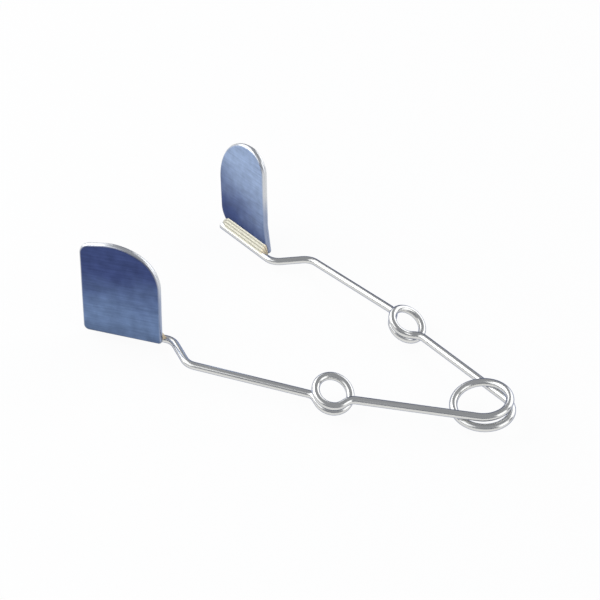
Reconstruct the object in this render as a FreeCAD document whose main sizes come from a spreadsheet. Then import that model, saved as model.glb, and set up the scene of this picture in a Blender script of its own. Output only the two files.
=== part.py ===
import FreeCAD, Part
import math
import os
import Sketcher

# Cheek dilator: a sprung V of round wire that carries a sheet blade at the end of each arm. Millimetres, +Z up.
# The coil at the apex is centred on the origin, the arms open towards -X and the blades stand up, as the dilator lies on
# a table. The left arm lies on the -Y side.

V = FreeCAD.Vector
UP = V(0, 0, 1)

doc = FreeCAD.newDocument("CheekDilator")
sheet = doc.addObject("Spreadsheet::Sheet", "Sizes")

# Every driving size: its name, its value and what it is
SIZES = [
    ("wire_diameter", 1.6, "diameter of the spring wire"),
    ("half_spread", 20.5, "angle between each arm and the middle line at rest, degrees"),
    ("apex_radius", 5.5, "apex coil, centre of the coil to the middle of the wire"),
    ("apex_pitch", 1.7, "apex coil, rise of one turn"),
    ("apex_shift", 0.75, "apex coil, how far one turn lies towards +X of the turn above"),
    ("apex_slip", 0.9, "apex coil, how far one turn lies towards -Y of the turn above"),
    ("apex_nod", -4.8, "apex coil, tilt of its axis towards the arms' far end, degrees"),
    ("apex_bank", 7.3, "apex coil, tilt of its axis towards the left arm, degrees"),
    ("apex_drop", 0.65, "apex coil, its middle below the plane of the arms"),
    ("front_arm", 28.1, "length of an arm from the apex coil to the middle of its small turn"),
    ("back_arm", 28.2, "length of an arm from the middle of its small turn to its crank"),
    ("turn_radius", 3.47, "small turn, centre of the turn to the middle of the wire"),
    ("turn_pitch", 1.7, "small turn, how far the wire climbs where it crosses itself"),
    ("turn_lead", 2.3, "small turn, radius of the bends that lead into it"),
    ("left_turn_offset", 0.78, "left small turn, its centre from the line of its arm"),
    ("right_turn_offset", -0.14, "right small turn, its centre from the line of its arm"),
    ("left_turn_nod", 11.0, "left small turn, tilt along its arm, degrees"),
    ("right_turn_nod", 30.0, "right small turn, tilt along its arm, degrees"),
    ("left_turn_bank", 21.5, "left small turn, tilt across its arm, degrees"),
    ("right_turn_bank", -5.5, "right small turn, tilt across its arm, degrees"),
    ("left_turn_drop", 0.1, "left small turn, its middle below the plane of the arms"),
    ("right_turn_drop", 0.47, "right small turn, its middle below the plane of the arms"),
    ("arm_bend", 4.7, "inward bend of each arm at its small turn, degrees"),
    ("left_crank_angle", 48.3, "left crank, angle that the wire turns inwards, degrees"),
    ("right_crank_angle", 57.2, "right crank, angle that the wire turns inwards, degrees"),
    ("crank_length", 4.9, "straight wire between the two bends of a crank"),
    ("crank_radius", 3.3, "bend radius of a crank, at the middle of the wire"),
    ("left_toe", 0.0, "left blade, angle from its arm, degrees"),
    ("right_toe", 3.4, "right blade, angle from its arm, degrees"),
    ("left_foot_rise", 0.34, "left foot wire above the plane of the arms"),
    ("right_foot_rise", 0.03, "right foot wire above the plane of the arms"),
    ("left_foot_lead", 0.2, "left straight foot wire between the crank and the blade"),
    ("right_foot_lead", 0.8, "right straight foot wire between the crank and the blade"),
    ("foot_overrun", -0.7, "foot wire past the tip of the blade, less than zero where it stops short"),
    ("left_blade_width", 17.0, "left blade, length along its foot"),
    ("right_blade_width", 17.5, "right blade, length along its foot"),
    ("left_blade_height", 21.3, "left blade, foot to crown"),
    ("right_blade_height", 24.9, "right blade, foot to crown"),
    ("blade_sheet", 1.45, "thickness of the blades' sheet"),
    ("blade_lean", 2.5, "inward lean of the blades, degrees"),
    ("left_tip_rise", 20.3, "left blade, height of its tip edge before the corner is rounded"),
    ("right_tip_rise", 17.2, "right blade, height of its tip edge before the corner is rounded"),
    ("left_crown_front", 11.2, "left blade, heel to the front end of its level crown"),
    ("right_crown_front", 10.9, "right blade, heel to the front end of its level crown"),
    ("left_crown_back", 7.2, "left blade, heel to the back end of its level crown"),
    ("right_crown_back", 4.5, "right blade, heel to the back end of its level crown"),
    ("left_heel_rise", 17.6, "left blade, height of its heel edge before the corner is rounded"),
    ("right_heel_rise", 22.5, "right blade, height of its heel edge before the corner is rounded"),
    ("left_heel_inset", 0.1, "left blade, how far its heel edge steps in above the flare at the foot"),
    ("right_heel_inset", 1.1, "right blade, how far its heel edge steps in above the flare at the foot"),
    ("heel_flare", 7.0, "height of the flare at the foot of a heel edge"),
    ("left_foot_corner", 1.2, "left blade, corner radius at the foot of its tip"),
    ("right_foot_corner", 5.0, "right blade, corner radius at the foot of its tip"),
    ("left_tip_corner", 2.4, "left blade, radius at the top of its tip edge"),
    ("right_tip_corner", 10.3, "right blade, radius at the top of its tip edge"),
    ("left_front_bend", 8.0, "left blade, radius where the crown falls towards the tip"),
    ("right_front_bend", 8.0, "right blade, radius where the crown falls towards the tip"),
    ("left_back_bend", 6.7, "left blade, radius where the crown falls towards the heel"),
    ("right_back_bend", 4.1, "right blade, radius where the crown falls towards the heel"),
    ("left_heel_corner", 6.4, "left blade, radius at the top of its heel edge"),
    ("right_heel_corner", 2.1, "right blade, radius at the top of its heel edge"),
    ("edge_round", 0.65, "polished rounding of a blade's edges"),
    ("wire_seat", 0.15, "middle of the foot wire above the foot edge of a blade"),
    ("braze_gap", 0.03, "film of braze between the foot wire and the blade"),
    ("braze_height", 2.6, "height of the braze fillet up the blade"),
    ("braze_heel", 0.6, "braze that runs out along the wire past the heel of the blade"),
    ("braze_tip", 3.0, "bare foot of the blade between the crest of the braze and the tip"),
    ("braze_slope", 1.2, "slope of the ends of the braze fillet"),
    ("groove_depth", 0.12, "depth of the file grooves along the braze fillet"),
    ("groove_width", 0.34, "width of the file grooves along the braze fillet"),
    ("table_tilt", 2.6, "tilt of the arms' plane when the dilator lies on a table, degrees"),
]
GROOVES = 3

for row, (alias, value, note) in enumerate(SIZES, start=1):
    sheet.set(f"A{row}", alias)
    sheet.set(f"B{row}", str(value))
    sheet.setAlias(f"B{row}", alias)
    sheet.set(f"C{row}", note)
doc.recompute()


def size(alias):
    return float(getattr(sheet, alias))


def angle(alias):
    return math.radians(size(alias))


def heading(turned):
    """Unit vector in plan at an angle from +X, in radians."""
    return V(math.cos(turned), math.sin(turned), 0)


# Everything is laid out with the arms' plane level, then tipped until the small turns and the blades' tips meet a table
table = FreeCAD.Placement(V(0, 0, 0), FreeCAD.Rotation(V(0, 1, 0), -size("table_tilt")))

wire_radius = size("wire_diameter") / 2
half_spread = angle("half_spread")

# Turns in the apex coil, from where the left arm runs in at the front to where the right arm runs out at the back
apex_turns = (3 * math.pi - 2 * half_spread) / (2 * math.pi)


def apex_points():
    """Middle line of the apex coil, a helix that climbs down from the left arm to the right arm."""
    nod, bank = angle("apex_nod"), angle("apex_bank")
    along = V(math.cos(nod), 0, -math.sin(nod))
    upright = V(math.sin(nod), 0, math.cos(nod))
    across = V(0, math.cos(bank), 0) + upright * math.sin(bank)
    axis = upright * math.cos(bank) - V(0, math.sin(bank), 0)
    steps = 16
    points = []
    for step in range(steps + 1):
        share = step / steps
        turned = half_spread - math.pi / 2 + share * apex_turns * 2 * math.pi
        turns = (share - 0.5) * apex_turns
        x = size("apex_radius") * math.cos(turned) + size("apex_shift") * turns
        y = size("apex_radius") * math.sin(turned) - size("apex_slip") * turns
        z = -size("apex_pitch") * turns
        points.append(along * x + across * y + axis * z - UP * size("apex_drop"))
    return points


def small_turn_points(side, centre, front, back):
    """Middle line of one small turn, from its blade side to its apex side.

    front and back are the headings, towards the apex, of the arm before and behind the turn. The wire leaves the line
    of the arm through a short lead bend, makes one full turn counter-clockwise, and crosses over itself at the front.
    """
    radius, lead, offset = size("turn_radius"), size("turn_lead"), size(side + "_turn_offset")
    nod, bank = angle(side + "_turn_nod"), angle(side + "_turn_bank")
    reach = math.sqrt((radius + lead) ** 2 - (lead + offset) ** 2)
    meet = math.atan2(lead + offset, reach)
    lead_angle = math.pi / 2 - meet
    start, end = back + math.pi + meet, front + 4 * math.pi - meet
    middle = (front + back) / 2
    along, across = heading(middle), heading(middle + math.pi / 2)

    def tilted(plan, share, weight=1.0):
        """A point of the flat loop, climbing and tilted; weight fades the foreshortening out along the lead bends."""
        x, y = plan.dot(along), plan.dot(across)
        narrow_x = 1 - weight + weight * math.cos(nod)
        narrow_y = 1 - weight + weight * math.cos(bank)
        climb = size("turn_pitch") * (share - 0.5) - x * math.sin(nod) + y * math.sin(bank)
        return centre + along * (x * narrow_x) + across * (y * narrow_y) + UP * climb

    def lead_point(hub, arm_heading, share, level):
        """Point on a lead bend, with share going from 0 on the line of the arm to 1 (or -1) where it meets the ring."""
        turned = arm_heading + math.pi / 2 - lead_angle * share
        point = tilted(hub + heading(turned) * lead, 0.0, abs(share))
        point.z = level
        return point

    def ring_point(share):
        return tilted(heading(start + (end - start) * share) * radius, share)

    hub_in = heading(back) * -reach - heading(back + math.pi / 2) * (offset + lead)
    hub_out = heading(front) * reach - heading(front + math.pi / 2) * (offset + lead)
    steps = 22
    points = [lead_point(hub_in, back, share, ring_point(0).z) for share in (0.0, 0.45)]
    points += [ring_point((step + 0.3) / (steps + 0.6)) for step in range(steps + 1)]
    points += [lead_point(hub_out, front, share, ring_point(1).z) for share in (-0.45, 0.0)]
    return points


def arm_layout(side, start):
    """Key points of one arm, from the apex coil outwards, and the heading of its blade."""
    out = 1 if side == "right" else -1
    front = -out * half_spread
    back = front + out * angle("arm_bend")
    foot = back - out * angle(side + "_toe")
    offset = size(side + "_turn_offset")
    centre = start - heading(front) * size("front_arm") + heading(front + math.pi / 2) * offset
    centre.z = -size(side + "_turn_drop")
    turn = small_turn_points(side, centre, front, back)
    corner = centre - heading(back + math.pi / 2) * offset - heading(back) * size("back_arm")
    crank = size(side + "_crank_angle")
    lean_in = back + out * math.radians(crank)
    first_cut = size("crank_radius") * math.tan(math.radians(crank) / 2)
    second_turn = lean_in - foot
    second_cut = size("crank_radius") * math.tan(abs(second_turn) / 2)
    corner = corner - heading(back) * first_cut
    knee = corner - heading(lean_in) * (first_cut + size("crank_length") + second_cut)
    heel = knee - heading(foot) * (second_cut + size(side + "_foot_lead"))
    tip = heel - heading(foot) * (size(side + "_blade_width") + size("foot_overrun"))
    rise = size(side + "_foot_rise")
    share = (corner - turn[0]).Length / ((corner - turn[0]).Length + (knee - corner).Length)
    corner.z = turn[0].z + (rise - turn[0].z) * share
    for point in (knee, heel, tip):
        point.z = rise
    return turn, corner, knee, heel, tip, foot


def smooth_edge(points, first, last):
    """Curve through the points that starts and ends along the given unit directions, timed by its own length."""
    marks = [0.0]
    for before, after in zip(points, points[1:]):
        marks.append(marks[-1] + before.distanceToPoint(after))
    curve = Part.BSplineCurve()
    curve.interpolate(Points=points, Parameters=marks, InitialTangent=first, FinalTangent=last, Scale=False)
    return curve.toShape()


def rounded_run(points, radius):
    """Straight wire through the points, with each corner bent to the radius."""
    edges = []
    at = points[0]
    for before, corner, after in zip(points, points[1:], points[2:]):
        enter = (before - corner).normalize()
        leave = (after - corner).normalize()
        half_turn = (math.pi - enter.getAngle(leave)) / 2
        cut = radius * math.tan(half_turn)
        middle = corner + (enter + leave).normalize() * (radius / math.cos(half_turn) - radius)
        start, end = corner + enter * cut, corner + leave * cut
        edges.append(Part.makeLine(at, start))
        edges.append(Part.Arc(start, middle, end).toShape())
        at = end
    edges.append(Part.makeLine(at, points[-1]))
    return edges


apex = apex_points()
layout = {"left": arm_layout("left", apex[0]), "right": arm_layout("right", apex[-1])}


def arm_edges(side, join):
    """Edges of one arm from its tip to the apex coil."""
    turn, corner, knee, heel, tip, foot = layout[side]
    run = [tip, knee, corner, turn[0]]
    straight_in = (turn[0] - run[2]).normalize()
    straight_out = (join - turn[-1]).normalize()
    edges = rounded_run(run, size("crank_radius"))
    edges.append(smooth_edge(turn, straight_in, straight_out))
    edges.append(Part.makeLine(turn[-1], join))
    return edges, straight_out


left_edges, left_in = arm_edges("left", apex[0])
right_edges, right_in = arm_edges("right", apex[-1])
coil_edge = smooth_edge(apex, left_in, right_in * -1)

# The middle line of the whole wire, from the left tip to the right tip
centreline = doc.addObject("Part::Feature", "Centreline")
centreline.Shape = Part.Wire(Part.__sortEdges__(left_edges + [coil_edge] + right_edges))

start_point = layout["left"][4]
start_heading = (left_edges[0].valueAt(left_edges[0].LastParameter) - start_point).normalize()
section = doc.addObject("Part::Circle", "WireSection")
section.setExpression("Radius", "Sizes.wire_diameter / 2")
section.Placement = FreeCAD.Placement(start_point, FreeCAD.Rotation(UP, start_heading))

spring = doc.addObject("Part::Sweep", "SpringWire")
spring.Label = "spring_wire"
spring.Sections = [section]
spring.Spine = (centreline, [])
spring.Solid = True
spring.Frenet = False
spring.Transition = "Transformed"
spring.Placement = table
doc.recompute()


def origin_plane(body, role):
    return next(plane for plane in body.Origin.OriginFeatures if plane.Role == role)


def new_sketch(body, name, role):
    sketch = body.newObject("Sketcher::SketchObject", name)
    sketch.AttachmentSupport = [(origin_plane(body, role), "")]
    sketch.MapMode = "FlatFace"
    return sketch


def place_point(sketch, geometry, end, across, upward):
    """Hold one end of a sketch line at two distances from the sketch's origin, each a formula of the sizes."""
    for kind, formula in (("DistanceX", across), ("DistanceY", upward)):
        held = sketch.addConstraint(Sketcher.Constraint(kind, -1, 1, geometry, end, 1.0))
        sketch.setExpression(f"Constraints[{held}]", formula)


def start_value(formula):
    return size(formula[6:]) if formula.startswith("Sizes.") else float(formula)


def closed_outline(sketch, corners):
    """Straight outline through the corners, each given as two formulas: across and up."""
    places = [V(start_value(across), start_value(upward), 0) for across, upward in corners]
    count = len(places)
    for before, after in zip(places, places[1:] + places[:1]):
        sketch.addGeometry(Part.LineSegment(before, after))
    for index, (across, upward) in enumerate(corners):
        sketch.addConstraint(Sketcher.Constraint("Coincident", index, 2, (index + 1) % count, 1))
        place_point(sketch, index, 1, across, upward)


def upright_edge_names(shape, x, y):
    """Names of the edges across the sheet at one corner of the blade's outline."""
    names = []
    for number, edge in enumerate(shape.Edges, start=1):
        middle = edge.CenterOfMass
        box = edge.BoundBox
        if box.XLength < 1e-6 and box.YLength < 1e-6 and abs(middle.x - x) < 1e-3 and abs(middle.y - y) < 1e-3:
            names.append(f"Edge{number}")
    return names


def foot_frame(side):
    """Placement of a blade: X runs along its foot to the tip, Y up the blade, and the origin is at the heel."""
    turn, corner, knee, heel, tip, foot = layout[side]
    out = 1 if side == "right" else -1
    along = heading(foot) * -1
    level_out = along.cross(UP) * out
    lean = angle("blade_lean")
    upward = UP * math.cos(lean) - level_out * math.sin(lean)
    outward = level_out * math.cos(lean) + UP * math.sin(lean)
    origin = heel + outward * (wire_radius + size("braze_gap")) - upward * size("wire_seat")
    turned = FreeCAD.Rotation(along, upward, along.cross(upward), "XYZ")
    return FreeCAD.Placement(origin, turned)


def make_blade(side):
    """Sheet blade: a padded outline with a domed top, a flare at its heel, rounded corners and polished edges."""
    name = side.capitalize()
    width = f"Sizes.{side}_blade_width"
    height = f"Sizes.{side}_blade_height"
    inset = f"Sizes.{side}_heel_inset"
    outline = {
        "Heel": ("0", "0"),
        "FootCorner": (width, "0"),
        "TipCorner": (width, f"Sizes.{side}_tip_rise"),
        "FrontBend": (f"Sizes.{side}_crown_front", height),
        "BackBend": (f"Sizes.{side}_crown_back", height),
        "HeelCorner": (inset, f"Sizes.{side}_heel_rise"),
        "Flare": (inset, "Sizes.heel_flare"),
    }
    body = doc.addObject("PartDesign::Body", name + "Blade")
    body.Label = side + "_blade"
    sketch = new_sketch(body, name + "BladeOutline", "XY_Plane")
    closed_outline(sketch, list(outline.values()))
    pad = body.newObject("PartDesign::Pad", name + "BladeSheet")
    pad.Profile = sketch
    pad.Reversed = side == "left"
    pad.setExpression("Length", "Sizes.blade_sheet")
    doc.recompute()
    last = pad
    for label in ("FootCorner", "TipCorner", "FrontBend", "BackBend", "HeelCorner"):
        across, upward = (start_value(formula) for formula in outline[label])
        fillet = body.newObject("PartDesign::Fillet", name + label)
        fillet.Base = (last, upright_edge_names(last.Shape, across, upward))
        kind = "".join("_" + letter.lower() if letter.isupper() else letter for letter in label)
        fillet.setExpression("Radius", f"Sizes.{side}{kind}")
        doc.recompute()
        last = fillet
    faces = [
        f"Face{number}"
        for number, face in enumerate(last.Shape.Faces, start=1)
        if face.Surface.TypeId == "Part::GeomPlane" and face.BoundBox.ZLength < 1e-6
    ]
    polish = body.newObject("PartDesign::Fillet", name + "EdgeRound")
    polish.Base = (last, faces)
    polish.setExpression("Radius", "Sizes.edge_round")
    body.Placement = table.multiply(foot_frame(side))
    doc.recompute()
    return body


def make_braze(side):
    """Braze fillet between the foot wire and the inner face of the blade, filed flat along its length."""
    name = side.capitalize()
    inward = 1 if side == "left" else -1
    seat = wire_radius + size("braze_gap")
    # Fillet face, from its crest on the blade down to where it runs out on the wire
    run_out = math.radians(30)
    crest = V(0, size("braze_height"), 0)
    toe = V(0, size("wire_seat") + wire_radius * math.sin(run_out), inward * (seat + wire_radius * math.cos(run_out)))
    axis = V(0, size("wire_seat"), inward * seat)
    foot_edge = V(0, size("edge_round"), 0)
    heel, tip = -size("braze_heel"), size(side + "_blade_width") - size("braze_tip") + size("braze_slope")
    outline = [V(heel, p.y, p.z) for p in (foot_edge, crest, toe, axis)]
    bar = doc.addObject("Part::Feature", name + "BrazeBar")
    bar.Shape = Part.Face(Part.makePolygon(outline + outline[:1])).extrude(V(tip - heel, 0, 0))
    slope = size("braze_slope")
    top = size("braze_height")
    low = -size("wire_diameter")
    reach = size("wire_diameter") * 2 + size("braze_gap")
    side_view = [
        V(heel, low, -reach),
        V(heel, size("wire_seat"), -reach),
        V(slope, top, -reach),
        V(tip - slope, top, -reach),
        V(tip, size("wire_seat"), -reach),
        V(tip, low, -reach),
    ]
    ends = doc.addObject("Part::Feature", name + "BrazeEnds")
    ends.Shape = Part.Face(Part.makePolygon(side_view + side_view[:1])).extrude(V(0, 0, 2 * reach))
    blank = doc.addObject("Part::Common", name + "BrazeBlank")
    blank.Base = bar
    blank.Tool = ends
    tools = []
    core = doc.addObject("Part::Cylinder", name + "WireSeat")
    core.setExpression("Radius", "Sizes.wire_diameter / 2")
    core.Height = tip - heel + 2
    core.Placement = FreeCAD.Placement(axis + V(heel - 1, 0, 0), FreeCAD.Rotation(UP, V(1, 0, 0)))
    tools.append(core)
    # Radius of a round file that cuts a groove of this depth and width
    depth, half_width = size("groove_depth"), size("groove_width") / 2
    file_radius = (depth ** 2 + half_width ** 2) / (2 * depth)
    face_along = toe - crest
    face_out = V(1, 0, 0).cross(face_along).normalize()
    if face_out.z * inward < 0:
        face_out = face_out * -1
    for number in range(GROOVES):
        at = crest + face_along * ((number + 0.88) / (GROOVES + 1)) + face_out * (file_radius - depth)
        groove = doc.addObject("Part::Cylinder", f"{name}Groove{number + 1}")
        groove.Radius = file_radius
        groove.Height = tip - heel + 2
        groove.Placement = FreeCAD.Placement(at + V(heel - 1, 0, 0), FreeCAD.Rotation(UP, V(1, 0, 0)))
        tools.append(groove)
    cutter = doc.addObject("Part::MultiFuse", name + "BrazeCutter")
    cutter.Shapes = tools
    braze = doc.addObject("Part::Cut", name + "Braze")
    braze.Base = blank
    braze.Tool = cutter
    braze.Label = side + "_braze"
    braze.Placement = table.multiply(foot_frame(side))
    doc.recompute()
    return braze


parts = [spring]
for hand in ("left", "right"):
    parts.append(make_blade(hand))
    parts.append(make_braze(hand))
doc.recompute()

for thing in doc.Objects:
    if {"Invalid", "Error"} & set(thing.State):
        raise RuntimeError(f"{thing.Name} did not build: {thing.State}")
os.makedirs("parts", exist_ok=True)
for part in parts:
    if part.Shape.isNull() or not part.Shape.isValid():
        raise RuntimeError(f"{part.Label} is not a valid solid")
    part.Shape.exportStep(f"parts/{part.Label}.step")
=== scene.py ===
import math

import bpy
import numpy as np
from bpy.props import FloatProperty, FloatVectorProperty, IntProperty, PointerProperty
from mathutils import Matrix


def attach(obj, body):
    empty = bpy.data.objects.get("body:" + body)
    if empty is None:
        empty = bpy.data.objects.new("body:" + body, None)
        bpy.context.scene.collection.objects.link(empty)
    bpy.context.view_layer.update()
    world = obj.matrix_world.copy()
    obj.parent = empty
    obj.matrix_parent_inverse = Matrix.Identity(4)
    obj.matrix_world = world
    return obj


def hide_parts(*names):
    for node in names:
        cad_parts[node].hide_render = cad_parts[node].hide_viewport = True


bl_info = {
    "name": "Cheek Dilator",
    "version": (1, 0, 0),
    "blender": (4, 5, 0),
    "location": "View3D > Sidebar > Cheek Dilator",
    "description": "Builds the surfaces and finishes of a sprung wire cheek dilator over its CAD frame",
    "category": "Object",
}

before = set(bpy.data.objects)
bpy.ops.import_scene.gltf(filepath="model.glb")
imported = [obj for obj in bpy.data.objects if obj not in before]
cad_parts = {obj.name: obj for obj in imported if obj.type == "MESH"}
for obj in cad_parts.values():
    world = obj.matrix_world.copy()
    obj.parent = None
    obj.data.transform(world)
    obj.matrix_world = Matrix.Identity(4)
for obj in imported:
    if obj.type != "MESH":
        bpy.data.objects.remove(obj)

MM = 0.001
SIDES = ("left", "right")
UP = np.array([0, 0, 1])

# Points that the curves of the apex coil and of a small turn's ring go through, and the share of a step that
# the ring's first and last point keep from its ends
APEX_POINTS = 17
RING_POINTS = 23
RING_MARGIN = 0.3
# Stations over a rounded end, and along an arc of an outline
END_STATIONS = 6
ARC_STATIONS = 24


def colour(hexed):
    """Linear RGB of an sRGB hex colour."""
    parts = np.array([int(hexed[i:i + 2], 16) for i in (1, 3, 5)]) / 255
    return tuple(np.where(parts <= 0.04045, parts / 12.92, ((parts + 0.055) / 1.055) ** 2.4))


def unit(vector):
    """A vector's direction, as a vector of length 1."""
    return vector / np.linalg.norm(vector)


def heading(turned):
    """Unit vectors in plan at angles from +X, in radians."""
    turned = np.asarray(turned, float)
    return np.stack([np.cos(turned), np.sin(turned), np.zeros_like(turned)], -1)


# Sizes and colours


class WireSettings(bpy.types.PropertyGroup):
    diameter: FloatProperty(
        name="Wire diameter", description="Diameter of the spring wire",
        default=1.6 * MM, unit="LENGTH", precision=5)
    half_spread: FloatProperty(
        name="Half spread", description="Angle between each arm and the middle line",
        default=math.radians(20.5), subtype="ANGLE")
    apex_radius: FloatProperty(
        name="Apex radius", description="Apex coil, centre to the middle of the wire",
        default=5.5 * MM, unit="LENGTH", precision=5)
    apex_step: FloatVectorProperty(
        name="Apex step", description="How far one turn of the apex coil lies from the turn above it",
        default=(0.75 * MM, -0.9 * MM, -1.7 * MM), subtype="TRANSLATION", precision=5)
    apex_tilt: FloatVectorProperty(
        name="Apex tilt", description="Tilt of the apex coil along the dilator and across it",
        default=(math.radians(-4.8), math.radians(7.3)), size=2, subtype="NONE", unit="ROTATION")
    apex_drop: FloatProperty(
        name="Apex drop", description="Middle of the apex coil below the plane of the arms",
        default=0.65 * MM, unit="LENGTH", precision=5)
    front_arm: FloatProperty(
        name="Front arm", description="Apex coil to the middle of the small turn",
        default=28.1 * MM, unit="LENGTH", precision=5)
    back_arm: FloatProperty(
        name="Back arm", description="Middle of the small turn to the crank",
        default=28.2 * MM, unit="LENGTH", precision=5)
    turn_radius: FloatProperty(
        name="Turn radius", description="Small turn, centre to the middle of the wire",
        default=3.47 * MM, unit="LENGTH", precision=5)
    turn_pitch: FloatProperty(
        name="Turn pitch", description="How far the wire climbs where a small turn crosses itself",
        default=1.7 * MM, unit="LENGTH", precision=5)
    turn_lead: FloatProperty(
        name="Turn lead", description="Radius of the bends that lead into a small turn",
        default=2.3 * MM, unit="LENGTH", precision=5)
    turn_offset: FloatVectorProperty(
        name="Turn offset", description="Small turns, left and right, centre from the line of the arm",
        default=(0.78 * MM, -0.14 * MM), size=2, subtype="NONE", unit="LENGTH", precision=5)
    turn_nod: FloatVectorProperty(
        name="Turn nod", description="Small turns, left and right, tilt along the arm",
        default=(math.radians(11), math.radians(30)), size=2, subtype="NONE", unit="ROTATION")
    turn_bank: FloatVectorProperty(
        name="Turn bank", description="Small turns, left and right, tilt across the arm",
        default=(math.radians(21.5), math.radians(-5.5)), size=2, subtype="NONE", unit="ROTATION")
    turn_drop: FloatVectorProperty(
        name="Turn drop", description="Small turns, left and right, middle below the plane of the arms",
        default=(0.1 * MM, 0.47 * MM), size=2, subtype="NONE", unit="LENGTH", precision=5)
    arm_bend: FloatProperty(
        name="Arm bend", description="Inward bend of each arm at its small turn",
        default=math.radians(4.7), subtype="ANGLE")
    crank_angle: FloatVectorProperty(
        name="Crank angle", description="Cranks, left and right, inward turn of the wire",
        default=(math.radians(48.3), math.radians(57.2)), size=2, subtype="NONE", unit="ROTATION")
    crank_length: FloatProperty(
        name="Crank length", description="Straight wire between the bends of a crank",
        default=4.9 * MM, unit="LENGTH", precision=5)
    crank_radius: FloatProperty(
        name="Crank radius", description="Bend radius of a crank",
        default=3.3 * MM, unit="LENGTH", precision=5)
    toe: FloatVectorProperty(
        name="Toe", description="Blades, left and right, angle from the arm",
        default=(0.0, math.radians(3.4)), size=2, subtype="NONE", unit="ROTATION")
    foot_rise: FloatVectorProperty(
        name="Foot rise", description="Foot wires, left and right, above the plane of the arms",
        default=(0.34 * MM, 0.03 * MM), size=2, subtype="NONE", unit="LENGTH", precision=5)
    foot_lead: FloatVectorProperty(
        name="Foot lead", description="Foot wires, left and right, straight length before the blade",
        default=(0.2 * MM, 0.8 * MM), size=2, subtype="NONE", unit="LENGTH", precision=5)
    foot_overrun: FloatProperty(
        name="Foot overrun", description="Foot wire past the tip of the blade",
        default=-1.3 * MM, unit="LENGTH", precision=5)
    end_round: FloatProperty(
        name="End round", description="Filed rounding of the wire's two ends",
        default=0.35 * MM, unit="LENGTH", precision=5)
    table_tilt: FloatProperty(
        name="Table tilt", description="Tilt of the arms' plane when the dilator lies on a table",
        default=math.radians(2.6), subtype="ANGLE")
    station: FloatProperty(
        name="Station", description="Spacing of the sections along the wire",
        default=0.3 * MM, unit="LENGTH", precision=5)
    sides: IntProperty(name="Sides", description="Facets around the wire", default=28, min=8)
    tone: FloatVectorProperty(
        name="Wire colour", description="Reflection colour of the drawn steel", default=colour("#dcdcd9"),
        subtype="COLOR", min=0, max=1)
    # Painted reflection: this specular tint darkens and blues the wire where it is seen edge on, in place of
    # a blue backdrop mirrored there
    blue_edge_reflection: FloatVectorProperty(
        name="Edge tint", description="Tint of the steel where it is seen edge on", default=colour("#6f80b0"),
        subtype="COLOR", min=0, max=1)


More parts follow.
